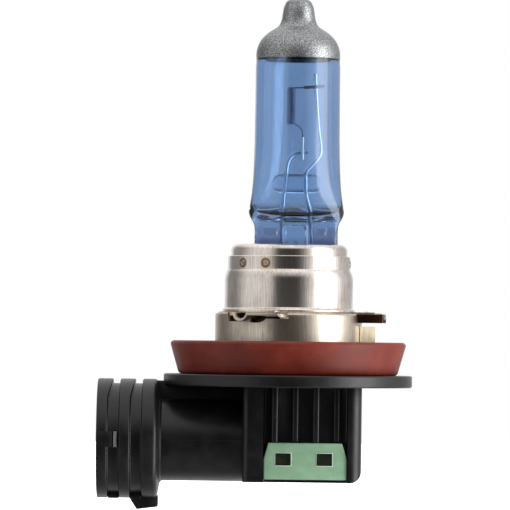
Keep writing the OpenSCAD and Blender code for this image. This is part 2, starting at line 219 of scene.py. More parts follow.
def oval_loft(name, stations, z, ring=96):
    """A closed piece along X with oval sections. A station is (x, half height, half width)."""
    begin()
    x, half_h, half_w = stations[0]
    bpy.ops.mesh.primitive_circle_add(vertices=ring, radius=half_h, location=(x, 0, z),
                                      rotation=(0, math.pi / 2, 0))
    bpy.ops.object.transform_apply(location=True, rotation=True, scale=True)
    piece = named(name)
    bpy.ops.object.mode_set(mode="EDIT")
    for side in (-1, 1):
        pick_verts(piece, lambda co, i: co.y * side > 1e-4)
        bpy.ops.transform.translate(value=(0, side * (half_w - half_h), 0))
    bpy.ops.mesh.select_all(action="SELECT")
    bpy.ops.mesh.edge_face_add()
    for (x0, h0, w0), (x1, h1, w1) in zip(stations, stations[1:]):
        bpy.ops.mesh.extrude_region_move(TRANSFORM_OT_translate={"value": (x1 - x0, 0, 0)})
        bpy.ops.transform.resize(value=(1, w1 / w0, h1 / h0), center_override=(x1, 0, z))
    tidy_mesh()
    return piece


def apply_modifier(piece, kind, **settings):
    """Adds a modifier with these settings and applies it."""
    pick(piece)
    bpy.ops.object.modifier_add(type=kind)
    modifier = piece.modifiers[-1]
    for key, value in settings.items():
        setattr(modifier, key, value)
    bpy.ops.object.modifier_apply(modifier=modifier.name)
    return piece


def bevelled(piece, width, segments=3, angle=35):
    """Rounds the edges that are sharper than angle."""
    return apply_modifier(piece, "BEVEL", width=width, segments=segments, limit_method="ANGLE",
                          angle_limit=math.radians(angle), use_clamp_overlap=True)


def combined(piece, tool, operation):
    """Boolean of a piece with a tool, which is used up."""
    apply_modifier(piece, "BOOLEAN", operation=operation, object=tool, solver="MANIFOLD")
    bpy.data.objects.remove(tool)
    return piece


def joined(name, pieces):
    """Joins pieces into one."""
    pick(*pieces)
    bpy.ops.object.join()
    return named(name)


def rod(name, points, diameter, smooth=True, sides=4):
    """A round wire along points, with closed ends."""
    curve = bpy.data.curves.new(name, "CURVE")
    curve.dimensions = "3D"
    spline = curve.splines.new("BEZIER" if smooth else "POLY")
    knots = spline.bezier_points if smooth else spline.points
    knots.add(len(points) - 1)
    for knot, point in zip(knots, points):
        knot.co = point if smooth else (*point, 1)
        if smooth:
            knot.handle_left_type = knot.handle_right_type = "AUTO"
    curve.resolution_u = 8
    curve.bevel_depth = diameter / 2
    curve.bevel_resolution = sides
    curve.use_fill_caps = True
    piece = bpy.data.objects.new(name, curve)
    bpy.context.scene.collection.objects.link(piece)
    pick(piece)
    bpy.ops.object.convert(target="MESH")
    bpy.ops.object.mode_set(mode="EDIT")
    tidy_mesh()
    return piece


def put(piece, matrix):
    """Moves a piece's mesh, not its object."""
    piece.data.transform(matrix)
    return piece


def copied(piece, name, matrix):
    """A copy with its own mesh, moved by a matrix."""
    twin = piece.copy()
    twin.data = piece.data.copy()
    twin.name = name
    bpy.context.scene.collection.objects.link(twin)
    return put(twin, matrix)


def finish(piece, material, nodes, smooth_angle=35):
    """Shrinks a piece to metres, gives it its finish and puts it in place of its CAD nodes."""
    put(piece, Matrix.Scale(MM, 4))
    pick(piece)
    bpy.ops.object.shade_smooth_by_angle(angle=math.radians(smooth_angle))
    piece.data.materials.clear()
    piece.data.materials.append(material)
    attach(piece, "root")
    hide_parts(*nodes)
    return piece


# ---------------------------------------------------------------------------
# Finishes
# ---------------------------------------------------------------------------

def linear(colour):
    """An sRGB hex colour as a linear RGBA tuple."""
    parts = [int(colour[i:i + 2], 16) / 255 for i in (1, 3, 5)]
    return tuple(c / 12.92 if c <= 0.04045 else ((c + 0.055) / 1.055) ** 2.4 for c in parts) + (1.0,)


def add_node(tree, kind, inputs=None, **settings):
    """Adds a node. An input is a value or another node's output."""
    made = tree.nodes.new(kind)
    for key, value in settings.items():
        setattr(made, key, value)
    for key, value in (inputs or {}).items():
        if isinstance(value, bpy.types.NodeSocket):
            tree.links.new(value, made.inputs[key])
        else:
            made.inputs[key].default_value = value
    return made


def new_finish(name, **sockets):
    """A material with a Principled shader. Returns it with its tree, shader and object coordinates."""
    material = bpy.data.materials.new(name)
    material.use_nodes = True
    tree = material.node_tree
    shader = tree.nodes["Principled BSDF"]
    for key, value in sockets.items():
        shader.inputs[key.replace("_", " ")].default_value = value
    place = add_node(tree, "ShaderNodeTexCoord").outputs["Object"]
    return material, tree, shader, place


def per_mm(size):
    """The noise scale whose features are about this many millimetres across."""
    return 1 / (size * MM)


def blend_colours(tree, shader, factor, stops):
    """Colours a surface by a factor, through (position, hex colour) stops."""
    ramp = add_node(tree, "ShaderNodeValToRGB", {"Fac": factor})
    colours = ramp.color_ramp
    while len(colours.elements) < len(stops):
        colours.elements.new(0.5)
    for element, (position, colour) in zip(colours.elements, stops):
        element.position = position
        element.color = linear(colour)
    tree.links.new(ramp.outputs["Color"], shader.inputs["Base Color"])
    return ramp


def blue_hard_glass():
    """Aluminosilicate glass tube with a fired blue filter coat: clear, glossy, a deeper blue at its edges."""
    material, tree, shader, place = new_finish(
        "blue_coated_hard_glass", Transmission_Weight=1.0, IOR=1.5, Roughness=0.02)
    drift = add_node(tree, "ShaderNodeTexNoise", {"Vector": place, "Scale": per_mm(6), "Detail": 2.0})
    coat = blend_colours(tree, shader, drift.outputs["Fac"], [(0.3, "#6687b5"), (0.7, "#6f90bd")])
    skin = add_node(tree, "ShaderNodeAttribute", attribute_name="skin")
    tint = add_node(tree, "ShaderNodeMix", {0: skin.outputs["Fac"], 6: (1, 1, 1, 1),
                                            7: coat.outputs["Color"]}, data_type="RGBA")
    # The pinch is tinted darker and greyer where pinch_tone marks it.
    tone = add_node(tree, "ShaderNodeAttribute", attribute_name="pinch_tone")
    darkened_coat = add_node(tree, "ShaderNodeMix", {0: tone.outputs["Fac"], 6: tint.outputs[2],
                                             7: linear("#4f5a80")}, data_type="RGBA")
    tree.links.new(darkened_coat.outputs[2], shader.inputs["Base Color"])
    ripple = add_node(tree, "ShaderNodeTexNoise", {"Vector": place, "Scale": per_mm(2.5), "Detail": 1.0})
    bump = add_node(tree, "ShaderNodeBump", {"Height": ripple.outputs["Fac"], "Strength": 0.12,
                                             "Distance": 0.05 * MM})
    tree.links.new(bump.outputs["Normal"], shader.inputs["Normal"])
    return material


def seal_glass():
    """A stand-in for the dark reflections in the seal. It doesn't bend light, it only takes some of it."""
    material, tree, shader, place = new_finish(
        "painted_dark_reflection_filter", Transmission_Weight=1.0, IOR=1.0, Roughness=0.0)
    drift = add_node(tree, "ShaderNodeTexNoise", {"Vector": place, "Scale": per_mm(0.6), "Detail": 2.0})
    blend_colours(tree, shader, drift.outputs["Fac"], [(0.35, "#7a7068"), (0.65, "#c8b8ae")])
    return material


def clear_bead_glass():
    """Clear fused glass bead, fire-polished."""
    material, tree, shader, place = new_finish(
        "clear_bead_glass", Transmission_Weight=1.0, IOR=1.3, Roughness=0.03)
    drift = add_node(tree, "ShaderNodeTexNoise", {"Vector": place, "Scale": per_mm(1.5)})
    blend_colours(tree, shader, drift.outputs["Fac"], [(0.3, "#e9f1fb"), (0.7, "#f6faff")])
    return material


def tip_paint():
    """Silicone resin paint with aluminium flake, dipped and baked: matt grey with a fine grain."""
    material, tree, shader, place = new_finish("baked_grey_tip_paint", Metallic=0.93, Roughness=0.39)
    grain = add_node(tree, "ShaderNodeTexNoise", {"Vector": place, "Scale": per_mm(0.15), "Detail": 3.0})
    blend_colours(tree, shader, grain.outputs["Fac"],
                  [(0.36, "#5f6163"), (0.5, "#848687"), (0.64, "#abadad")])
    bump = add_node(tree, "ShaderNodeBump", {"Height": grain.outputs["Fac"], "Strength": 0.6,
                                             "Distance": 0.06 * MM})
    tree.links.new(bump.outputs["Normal"], shader.inputs["Normal"])
    return material


def drawn_steel(name, dark, mid, light, roughness):
    """Deep-drawn steel with satin plate: warm grey, with fine draw lines that run up the wall.
    A heat attribute on the piece tints it straw and brown round its welds; on the tab ring it also carries
    painted shade and a painted warm reflection."""
    material, tree, shader, place = new_finish(name, Metallic=1.0)
    stretch = add_node(tree, "ShaderNodeMapping", {"Vector": place, "Scale": (1.0, 1.0, 0.06)})
    lines = add_node(tree, "ShaderNodeTexNoise", {"Vector": stretch.outputs["Vector"], "Scale": per_mm(0.18),
                                                  "Detail": 4.0, "Roughness": 0.6})
    cloud = add_node(tree, "ShaderNodeTexNoise", {"Vector": place, "Scale": per_mm(3.5), "Detail": 3.0})
    mixed = add_node(tree, "ShaderNodeMath", {0: lines.outputs["Fac"], 1: cloud.outputs["Fac"]},
                     operation="MULTIPLY")
    ramp = blend_colours(tree, shader, mixed.outputs["Value"],
                         [(0.12, dark), (0.26, mid), (0.42, light)])
    heat_and_shade = add_node(tree, "ShaderNodeAttribute", attribute_name="weld_heat_and_shade")
    tint = add_node(tree, "ShaderNodeValToRGB", {"Fac": heat_and_shade.outputs["Fac"]})
    colours = tint.color_ramp
    for position, colour in ((0.2, "#fff7e2"), (0.45, "#dcc69c"), (0.7, "#8f7763")):
        colours.elements.new(position).color = linear(colour)
    colours.elements[0].color = linear("#ffffff")
    colours.elements[-1].color = linear("#4a4038")
    toned = add_node(tree, "ShaderNodeMix", {0: 1.0, 6: ramp.outputs["Color"], 7: tint.outputs["Color"]},
                     data_type="RGBA", blend_type="MULTIPLY")
    tree.links.new(toned.outputs[2], shader.inputs["Base Color"])
    rough = add_node(tree, "ShaderNodeMapRange", {"Value": mixed.outputs["Value"], "From Min": 0.1,
                                                  "From Max": 0.45, "To Min": roughness + 0.05,
                                                  "To Max": roughness - 0.04})
    tree.links.new(rough.outputs["Result"], shader.inputs["Roughness"])
    bump = add_node(tree, "ShaderNodeBump", {"Height": lines.outputs["Fac"], "Strength": 0.2,
                                             "Distance": 0.02 * MM})
    tree.links.new(bump.outputs["Normal"], shader.inputs["Normal"])
    return material


def weld_nugget():
    """Steel that melted and froze under the electrode: dull, brown at the rim, with a rough skin."""
    material, tree, shader, place = new_finish("heat_tinted_weld", Metallic=0.9, Roughness=0.42)
    skin = add_node(tree, "ShaderNodeTexNoise", {"Vector": place, "Scale": per_mm(0.3), "Detail": 3.0})
    blend_colours(tree, shader, skin.outputs["Fac"],
                  [(0.3, "#7c6962"), (0.5, "#9c8d88"), (0.72, "#b8aaa6")])
    bump = add_node(tree, "ShaderNodeBump", {"Height": skin.outputs["Fac"], "Strength": 0.5,
                                             "Distance": 0.05 * MM})
    tree.links.new(bump.outputs["Normal"], shader.inputs["Normal"])
    return material


def drawn_wire(name, dark, light, roughness, grain):
    """Hard drawn wire: metallic, with die lines and a thin oxide that varies along it."""
    material, tree, shader, place = new_finish(name, Metallic=1.0, Roughness=roughness)
    oxide = add_node(tree, "ShaderNodeTexNoise", {"Vector": place, "Scale": per_mm(grain), "Detail": 3.0})
    blend_colours(tree, shader, oxide.outputs["Fac"], [(0.35, dark), (0.65, light)])
    bump = add_node(tree, "ShaderNodeBump", {"Height": oxide.outputs["Fac"], "Strength": 0.2,
                                             "Distance": 0.01 * MM})
    tree.links.new(bump.outputs["Normal"], shader.inputs["Normal"])
    return material


def moulded(name, stops, roughness, grain, lump, bump_depth, **sockets):
    """A moulded surface: a cloudy tone, a fine grain from the mould, and gloss that varies a little."""
    material, tree, shader, place = new_finish(name, **sockets)
    cloud = add_node(tree, "ShaderNodeTexNoise", {"Vector": place, "Scale": per_mm(lump), "Detail": 4.0})
    blend_colours(tree, shader, cloud.outputs["Fac"], stops)
    fine = add_node(tree, "ShaderNodeTexNoise", {"Vector": place, "Scale": per_mm(grain), "Detail": 2.0})
    gloss = add_node(tree, "ShaderNodeMapRange", {"Value": cloud.outputs["Fac"], "From Min": 0.3,
                                                  "From Max": 0.7, "To Min": roughness - 0.05,
                                                  "To Max": roughness + 0.06})
    tree.links.new(gloss.outputs["Result"], shader.inputs["Roughness"])
    bump = add_node(tree, "ShaderNodeBump", {"Height": fine.outputs["Fac"], "Strength": 0.3,
                                             "Distance": bump_depth * MM})
    tree.links.new(bump.outputs["Normal"], shader.inputs["Normal"])
    return material


def red_silicone():
    """Compression-moulded silicone rubber: brick red, satin, slightly dusty."""
    return moulded("brick_red_silicone", [(0.3, "#621d12"), (0.5, "#6e2417"), (0.7, "#7a2c1e")],
                   0.5, 0.2, 2.5, 0.04, Specular_IOR_Level=0.3, Subsurface_Weight=0.08,
                   Subsurface_Scale=0.5 * MM)


def black_base_plastic():
    """Glass-filled black thermoplastic, injection moulded: satin, with a fine mould grain."""
    return moulded("glass_filled_black_plastic", [(0.3, "#0a0a0b"), (0.5, "#0f0f10"), (0.7, "#151517")],
                   0.36, 0.15, 2.0, 0.02, Specular_IOR_Level=0.38)


def green_cover_plastic():
    """Unfilled sage-green thermoplastic, injection moulded: soft satin."""
    return moulded("sage_green_plastic", [(0.3, "#86ab8c"), (0.5, "#8db292"), (0.7, "#95b99a")],
                   0.45, 0.12, 1.5, 0.015, Subsurface_Weight=0.1, Subsurface_Scale=0.6 * MM)


def painted_highlight_green_edge():
    """The cover's plastic on the rims round the windows: paler and a little rougher, a painted highlight
    along the rim edges.
    """
    return moulded("painted_highlight_green_plastic", [(0.3, "#b5cdb8"), (0.5, "#c1d6c3"), (0.7, "#cde0ce")],
                   0.55, 0.12, 1.5, 0.015)


GLASS = blue_hard_glass()
DARK_REFLECTION_FILTER = seal_glass()
BEAD_GLASS = clear_bead_glass()
TIP_PAINT = tip_paint()
STEEL = drawn_steel("nickel_plated_drawn_steel", "#b0a69e", "#d2c9c1", "#e4ddd6", 0.19)
RING_STEEL = drawn_steel("zinc_plated_ring_steel", "#9a9184", "#b8aea0", "#cdc4b5", 0.3)
WELD = weld_nugget()
TUNGSTEN = drawn_wire("drawn_tungsten", "#6f6a78", "#a09ba8", 0.24, 0.4)
MOLYBDENUM = drawn_wire("drawn_molybdenum", "#e2e2e8", "#f8f8fb", 0.38, 0.7)
LEG_NICKEL = drawn_wire("annealed_nickel_leg_tube", "#fbf3dd", "#fffcf0", 0.5, 0.6)
TINNED = drawn_wire("tin_plated_brass", "#7d786d", "#a19b8f", 0.36, 0.9)
SILICONE = red_silicone()
BLACK_PLASTIC = black_base_plastic()
GREEN_PLASTIC = green_cover_plastic()
HIGHLIGHT_EDGE_PLASTIC = painted_highlight_green_edge()


# ---------------------------------------------------------------------------
# Glass
# ---------------------------------------------------------------------------

# Half outline of the dome and the sealed tip
TIP_LINE = (
    (5.45, 33.4), (5.44, 34.1), (5.41, 34.7), (5.34, 35.15), (5.22, 35.6), (5.05, 36.0), (4.82, 36.4),
    (4.55, 36.75), (4.2, 37.1), (3.78, 37.45), (3.35, 37.72), (2.98, 37.95), (2.68, 38.15), (2.46, 38.4),
    (2.3, 38.7), (2.18, 39.05), (2.09, 39.5), (2.02, 40.0), (1.94, 40.5), (1.84, 40.9))


def tip_outline(grow):
    """Half outline of the dome and the sealed tip, grown outwards."""
    line = [(x + grow, z) for x, z in TIP_LINE]
    return line + arc(1.0, TIP_TOP - 0.76, 0.74 + grow, 8, 80, 7) + [(0, TIP_TOP - 0.03 + grow)]


# Half width and half depth of the glass, and how square its section is, against height
GLASS_SECTIONS = (
    (2.6, 5.45, 1.7, 7.0), (11.6, 5.4, 1.7, 7.0), (12.2, 5.44, 1.7, 6.5), (12.7, 5.58, 1.74, 5.5),
    (13.05, 5.8, 1.85, 4.2), (13.3, 5.95, 2.15, 3.2), (13.6, 6.08, 2.5, 2.6), (13.9, 6.16, 2.72, 2.4),
    (14.2, 6.19, 2.9, 2.3), (14.6, 6.13, 3.12, 2.2), (15.2, 6.02, 3.45, 2.1), (16.2, 5.87, 3.98, 2.0),
    (17.2, 5.76, 4.45, 2.0), (18.4, 5.68, 4.95, 2.0), (19.6, 5.62, 5.28, 2.0), (21.5, 5.57, 5.48, 2.0),
    (23.5, 5.54, 5.52, 2.0), (30.0, 5.5, 5.5, 2.0))

CAVITY_SECTIONS = (
    (14.1, 4.6, 0.9, 2.0), (14.4, 5.0, 1.3, 2.0), (15.0, 5.15, 1.98, 2.0), (16.0, 5.1, 2.8, 2.0),
    (17.2, 4.95, 3.42, 2.0), (18.4, 4.8, 3.92, 2.0), (19.6, 4.65, 4.2, 2.0), (21.5, 4.5, 4.38, 2.0),
    (23.5, 4.45, 4.42, 2.0), (30.0, 4.4, 4.4, 2.0))

# Filters that stand in for the dark reflections in the seal: centre x and z, half width, height and depth
LENSES = ((-2.75, 13.55, 1.25, 0.42, 0.8), (0.55, 13.55, 1.7, 0.62, 0.8), (4.1, 13.55, 1.4, 0.42, 0.8))


def section_at(sections, z):
    """Half width, half depth and squareness at a height, smoothly between the listed sections."""
    for low, high in zip(sections, sections[1:]):
        if z <= high[0]:
            t = max(0.0, (z - low[0]) / (high[0] - low[0]))
            return [a + (b - a) * t for a, b in zip(low[1:], high[1:])]
    return sections[-1][1:]


def smooth_step(value, low, high):
    t = min(1.0, max(0.0, (value - low) / (high - low)))
    return t * t * (3 - 2 * t)


def band(value, low, high, edge):
    """1 between low and high, 0 outside, with soft edges."""
    return smooth_step(value, low - edge, low + edge) * (1 - smooth_step(value, high - edge, high + edge))


def pinch_relief(x, z):
    """How far the pinch face stands out: a pad between the wires, shallow pads beside them, faint ripples."""
    pad = band(x, -0.62, 2.2, 0.12) * (1 - smooth_step(z, 12.25, 12.5))
    beside = (band(x, -3.6, -1.6, 0.3) + band(x, 3.3, 4.7, 0.3)) * band(z, 10.9, 12.2, 0.25)
    ripple = 0.04 * math.sin(5.1 * x + 1.3 * z) * math.sin(4.3 * z) * (1 - smooth_step(z, 12.6, 13.2))
    return 0.42 * pad + 0.2 * beside + ripple


def glass_shell(name, outline, sections, relief):
    """Turns an outline and squeezes it to the listed sections below the round tube."""
    piece = turned(name, outline, GLASS_X, 280, closed=False)
    for vertex in piece.data.vertices:
        x, y, z = vertex.co.x - GLASS_X, vertex.co.y, vertex.co.z
        if z > 30:
            continue
        radius = math.hypot(x, y)
        if radius < 1e-4:
            continue
        half_w, half_d, square = section_at(sections, z)
        turn = math.atan2(y, x)
        c, s = math.cos(turn), math.sin(turn)
        k = (abs(c) ** square + abs(s) ** square) ** (-1 / square)
        share = radius / max(half_w, radius) if relief else min(1.0, radius / half_w)
        vertex.co.x = GLASS_X + half_w * c * k * share
        depth = half_d * s * k * share
        if relief and abs(depth) > 1:
            depth += math.copysign(pinch_relief(vertex.co.x, z), depth)
        vertex.co.y = depth
    return piece


def paint_pinch(piece):
    """Marks where the coat is tinted darker and greyer: beside the wires and along the cap."""
    tone = piece.data.attributes.new("pinch_tone", "FLOAT", "POINT")
    for vertex in piece.data.vertices:
        x, z = vertex.co.x, vertex.co.z
        beside = (1 - smooth_step(z, 11.7, 12.5)) * (1 - band(x, -1.1, 2.8, 0.25))
        foot = 1 - smooth_step(z, 10.3, 10.9)
        tone.data[vertex.index].value = min(1.0, 0.55 * beside + 0.45 * foot)


def paint_skin(piece, level):
    """Marks which faces carry the blue coat: 1 outside, 0 inside."""
    skin = piece.data.attributes.new("skin", "FLOAT", "POINT")
    for item in skin.data:
        item.value = level


def levels(low, high, step):
    """Heights from low to high, about a step apart."""
    count = max(1, round((high - low) / step))
    return [low + (high - low) * i / count for i in range(count + 1)]


def make_glass():
    heights = levels(PINCH_FOOT, 9.4, 0.9)[:-1] + levels(9.4, 15.5, 0.16) + levels(16, DOME_Z - 0.6, 0.8)
    outer_line = [(0, PINCH_FOOT)] + [(section_at(GLASS_SECTIONS, z)[0], z) for z in heights]
    outer = glass_shell("glass_capsule", outer_line + tip_outline(0), GLASS_SECTIONS, True)
    paint_skin(outer, 1.0)
    paint_pinch(outer)
    wall = GLASS_WALL
    floor = [(0, 14.55), (0.6, 14.54), (1.1, 14.48), (1.6, 14.34), (2.1, 14.2), (2.7, 14.1), (3.4, 14.07),
             (4.1, 14.1)]
    heights = levels(14.2, 16, 0.2) + levels(16.5, DOME_Z - 0.5, 0.8)
    inner_line = floor + [(section_at(CAVITY_SECTIONS, z)[0], z) for z in heights]
    inner_line += arc(0, DOME_Z, TUBE_R - 0.06 - wall, 0, 90, 16)
    inner = glass_shell("cavity_skin", inner_line, CAVITY_SECTIONS, False)
    paint_skin(inner, 0.0)
    pick(inner)
    bpy.ops.object.mode_set(mode="EDIT")
    bpy.ops.mesh.select_all(action="SELECT")
    bpy.ops.mesh.flip_normals()
    bpy.ops.object.mode_set(mode="OBJECT")
    shell = joined("glass_capsule", [outer, inner])
    return finish(shell, GLASS, ["glass_envelope"], 60)


def make_seal_lenses():
    lenses = []
    for x, z, half_w, half_h, half_d in LENSES:
        begin()
        bpy.ops.mesh.primitive_uv_sphere_add(segments=40, ring_count=20, radius=half_h, location=(x, 0, z))
        bpy.ops.object.transform_apply(location=True, rotation=True, scale=True)
        lens = named("lens")
        for vertex in lens.data.vertices:
            out = (vertex.co.x - x) / half_h
            vertex.co.x = x + out * half_w
            vertex.co.y *= half_d / half_h
            vertex.co.z = z + (vertex.co.z - z) * (1 - 0.35 * out * out) + 0.1 * abs(out)
        lenses.append(lens)
    # These lenses are painted dark reflections in the seal, not parts of the bulb.
    finish(joined("seal_lenses", lenses), DARK_REFLECTION_FILTER, ["glass_envelope"], 60)


def make_coating():
    skin = 0.04
    outer = [(TUBE_R - 0.05, COATING_EDGE)] + [p for p in tip_outline(skin) if p[1] > COATING_EDGE + 0.1]
    inner = [p for p in tip_outline(0.005) if p[1] > COATING_EDGE + 0.1]
    line = outer + inner[::-1] + [(TUBE_R - 0.09, COATING_EDGE)]
    coat = turned("tip_coating", line, GLASS_X, 176, closed=True)
    return finish(coat, TIP_PAINT, ["top_coating"], 60)


# ---------------------------------------------------------------------------
# Filament and wires
# ---------------------------------------------------------------------------

LONG_WIRE = ((4.87, -3.85, -19.2), (4.87, -3.85, -15), (2.95, 0, 2), (2.87, 0, 10.2), (2.71, 0, 12.5),
             (2.58, 0, 14.2), (2.2, 0, 15.6), (2.04, 0, 16.6), (1.97, 0, 18.2), (1.95, 0, 19.1),
             (2.08, 0, 19.6), (2.5, 0, 20.1), (3.5, 0, 21.2), (3.82, 0, 21.7), (3.9, 0, 22.3),
             (3.59, 0, 24.9), (3.3, 0, 28.6), (3.08, 0, 32.1))
SHORT_WIRE = ((-0.38, -3.85, -19.2), (-0.38, -3.85, -15), (-0.95, 0, 2), (-1.0, 0, 10.2), (-1.02, 0, 12.3),
              (-0.85, 0, 14.9), (-0.72, 0, 16.7), (-0.57, 0, 18), (-0.47, 0, 19.3), (-0.38, 0, 20.3),
              (-0.1, 0, 21.1), (0.35, 0, 21.6), (0.95, 0, 21.87), (1.6, 0, 21.95), (2.28, 0, 21.95))


def make_wires():
    for name, path, node in (("long_support_wire_rod", LONG_WIRE, "long_support_wire"),
                             ("short_support_wire_rod", SHORT_WIRE, "short_support_wire")):
        finish(bevelled(rod(name, path, LEAD_D, sides=6), 0.08, 2), MOLYBDENUM, [node], 50)
    upper = rod("upper_leg_tube", ((1.64, LEG_Y, COIL_TOP + 0.12), (4.24, LEG_Y, COIL_TOP + 0.32)),
                LEG_SLEEVE_D, smooth=False, sides=6)
    finish(bevelled(upper, 0.06, 2), TUNGSTEN, ["upper_leg_sleeve"], 50)
    lower = rod("lower_leg_tube", ((1.52, LEG_Y, COIL_FOOT - 1.6), (1.52, LEG_Y, COIL_FOOT - 4.5)),
                LEG_SLEEVE_D, smooth=False, sides=6)
    finish(bevelled(lower, 0.06, 2), LEG_NICKEL, ["lower_leg_sleeve"], 50)


def make_filament():
    per_turn = 20
    count = COIL_TURNS * per_turn
    radius = COIL_R - COIL_WIRE / 2
    pitch = (COIL_TOP - COIL_FOOT - COIL_WIRE) / COIL_TURNS
    coil = [(radius * math.cos(2 * math.pi * i / per_turn), -radius * math.sin(2 * math.pi * i / per_turn),
             COIL_FOOT + COIL_WIRE / 2 + pitch * i / per_turn) for i in range(count + 1)]
    wound = rod("coil", coil, COIL_WIRE, smooth=False, sides=2)
    upper = rod("upper_leg", ((radius, 0, COIL_TOP - 0.1), (0.2, -0.3, COIL_TOP + 0.02),
                              (-0.3, -0.35, COIL_TOP + 0.02), (0.4, -0.4, COIL_TOP + 0.06),
                              (1.4, LEG_Y, COIL_TOP + 0.1), (2.2, LEG_Y, COIL_TOP + 0.16)),
                COIL_WIRE, sides=2)
    lower = rod("lower_leg", ((radius, 0, COIL_FOOT + 0.09), (0.85, -0.25, COIL_FOOT - 0.08),
                              (1.2, -0.4, COIL_FOOT - 0.35), (1.44, LEG_Y, COIL_FOOT - 0.8),
                              (1.52, LEG_Y, COIL_FOOT - 1.4), (1.52, LEG_Y, COIL_FOOT - 2)),
                COIL_WIRE, sides=2)
    finish(joined("filament_coil", [wound, upper, lower]), TUNGSTEN, ["filament"], 60)


def make_bead():
    half, radius = 1.86, 1.3
    line = [(0, -half - radius)] + arc(0, -half, radius, -80, 0, 8) + arc(0, half, radius, 0, 80, 8)
    bead = turned("glass_bead", line + [(0, half + radius)], 0, 64, closed=False)
    put(bead, Matrix.Translation((0.84, 0, 18)) @ Matrix.Rotation(math.pi / 2, 4, "Y"))
    finish(bead, BEAD_GLASS, ["glass_bridge"], 60)


# ---------------------------------------------------------------------------
# Metal cap
# ---------------------------------------------------------------------------

def add_heat(piece, spots, core, reach):
    """Writes a heat attribute: 1 inside a weld's core, falling to 0 at its reach."""
    heat_and_shade = piece.data.attributes.new("weld_heat_and_shade", "FLOAT", "POINT")
    for vertex in piece.data.vertices:
        near = min((vertex.co - spot).length for spot in spots)
        heat_and_shade.data[vertex.index].value = 1 - smooth_step(near, core, reach)


def paint_light_and_shade(piece, level, test=lambda co: True):
    """Writes one level of the weld tint where the test passes: painted shade where the level is high, a
    painted warm reflection where it is low.
    """
    heat_and_shade = piece.data.attributes.new("weld_heat_and_shade", "FLOAT", "POINT")
    for vertex in piece.data.vertices:
        heat_and_shade.data[vertex.index].value = level if test(vertex.co) else 0.0
    return piece


def on_ring(radius, angle, z):
    turn = math.radians(angle)
    return Vector((radius * math.cos(turn), radius * math.sin(turn), z))


def make_ferrule():
    shoulder = 0.8
    x, top = FERRULE_R - shoulder, FERRULE_TOP - shoulder - 0.06
    line = ([(FERRULE_R, FERRULE_LOW.z)] + arc(x, top, shoulder, 0, 86, 10)
            + [(5.4, FERRULE_TOP), (0, FERRULE_TOP), (0, FERRULE_TOP - SHEET), (3, FERRULE_TOP - SHEET)]
            + arc(x, top, shoulder - SHEET, 90, 0, 8) + [(FERRULE_R - SHEET, FERRULE_LOW.z)])
    cup = turned("ferrule_cup", line, 0, 176, closed=True)
    slot = block("slot", (GLASS_X - 5.7, -2.0, FERRULE_TOP - 2), (GLASS_X + 5.7, 2.0, FERRULE_TOP + 2))
    cup = bevelled(combined(cup, slot, "DIFFERENCE"), 0.06, 2, 40)
    finish(cup, STEEL, ["ferrule"], 40)


def make_sleeve():
    heights = levels(BAND_FOOT + 0.12, BAND_TOP - 0.25, 0.13)[::-1]
    band_wall = [(BAND_R, BAND_TOP - 0.08)] + [(BAND_R, z) for z in heights]
    line = ([(FERRULE_R + 0.02, BAND_TOP - 0.06), (FERRULE_R + 0.08, BAND_TOP), (BAND_R - 0.08, BAND_TOP)]
            + band_wall
            + [(BAND_R + 0.01, BAND_FOOT), (BAND_R + 0.07, BAND_FOOT - 0.09),
               (BAND_R + 0.15, BAND_FOOT - 0.26), (BAND_R + 0.22, BAND_FOOT - 0.46),
               (BAND_R + 0.29, BAND_FOOT - 0.72),
               (SLEEVE_R - 0.03, BAND_FOOT - 1.0), (SLEEVE_R, BAND_FOOT - 1.3), (SLEEVE_R, SEAT_TOP + 0.75),
               (SLEEVE_R + 0.03, SEAT_TOP + 0.62)]
            + arc(SLEEVE_R + 0.06, SEAT_TOP + 0.28, 0.28, 80, -40, 8)
            + [(SLEEVE_R + 0.2, SEAT_TOP), (SLEEVE_R - SHEET, SEAT_TOP), (SLEEVE_R - SHEET, BAND_FOOT - 1.2),
               (FERRULE_R + 0.02, BAND_FOOT - 0.2)])
    shell = turned("sleeve_shell", line, 0, 320)
    ears = []
    for angle in TAB_ANGLES:
        ear = block("ear", (SLEEVE_R - 0.1, -2.4, SEAT_TOP), (11.15, 2.4, SEAT_TOP + 0.25))
        ears.append(put(bevelled(ear, 0.07, 2), Matrix.Rotation(math.radians(angle), 4, "Z")))
    sleeve = joined("adjusting_sleeve_shell", [shell] + ears)
    add_heat(sleeve, [on_ring(BAND_R, a, WELD_Z) for a in WELD_ANGLES], 0.34, 0.92)
    finish(sleeve, STEEL, ["adjusting_sleeve"], 40)


def make_tab():
    """One tab along +Y: its section, with the U-shaped boss and a bent edge, is drawn and run outwards."""
    top, low, boss, r = SEAT_TOP - 0.01, SEAT_TOP - 0.01 - SHEET, BOSS_SHIFT, 1.12
    half = TAB_W / 2
    line = [(-half, top + 0.2), (-half + 0.55, top), (-half + 1.5, top)]
    line += arc(boss, top, r - 0.3, 180, 360, 12)
    line += [(half - 0.08, top), (half, top - 0.06), (half - 0.2, low - 0.75), (half - 0.45, low - 0.75),
             (half - 0.45, low - 0.1), (half - 0.6, low)]
    line += [p for p in arc(boss, top, r, 338, 202, 12) if p[1] < low + 0.02]
    line += [(-half + 1.5, low), (-half + 0.55, low), (-half, low - 0.2), (-half + 0.3, (top + low) / 2)]
    reach = TAB_REACH - RING_R + 0.75
    piece = plate("tab", line, 0, reach)
    for vertex in piece.data.vertices:
        if vertex.co.y > reach / 2:
            vertex.co.y -= 0.5 * smooth_step(abs(vertex.co.x), half - 1.4, half)
    return piece


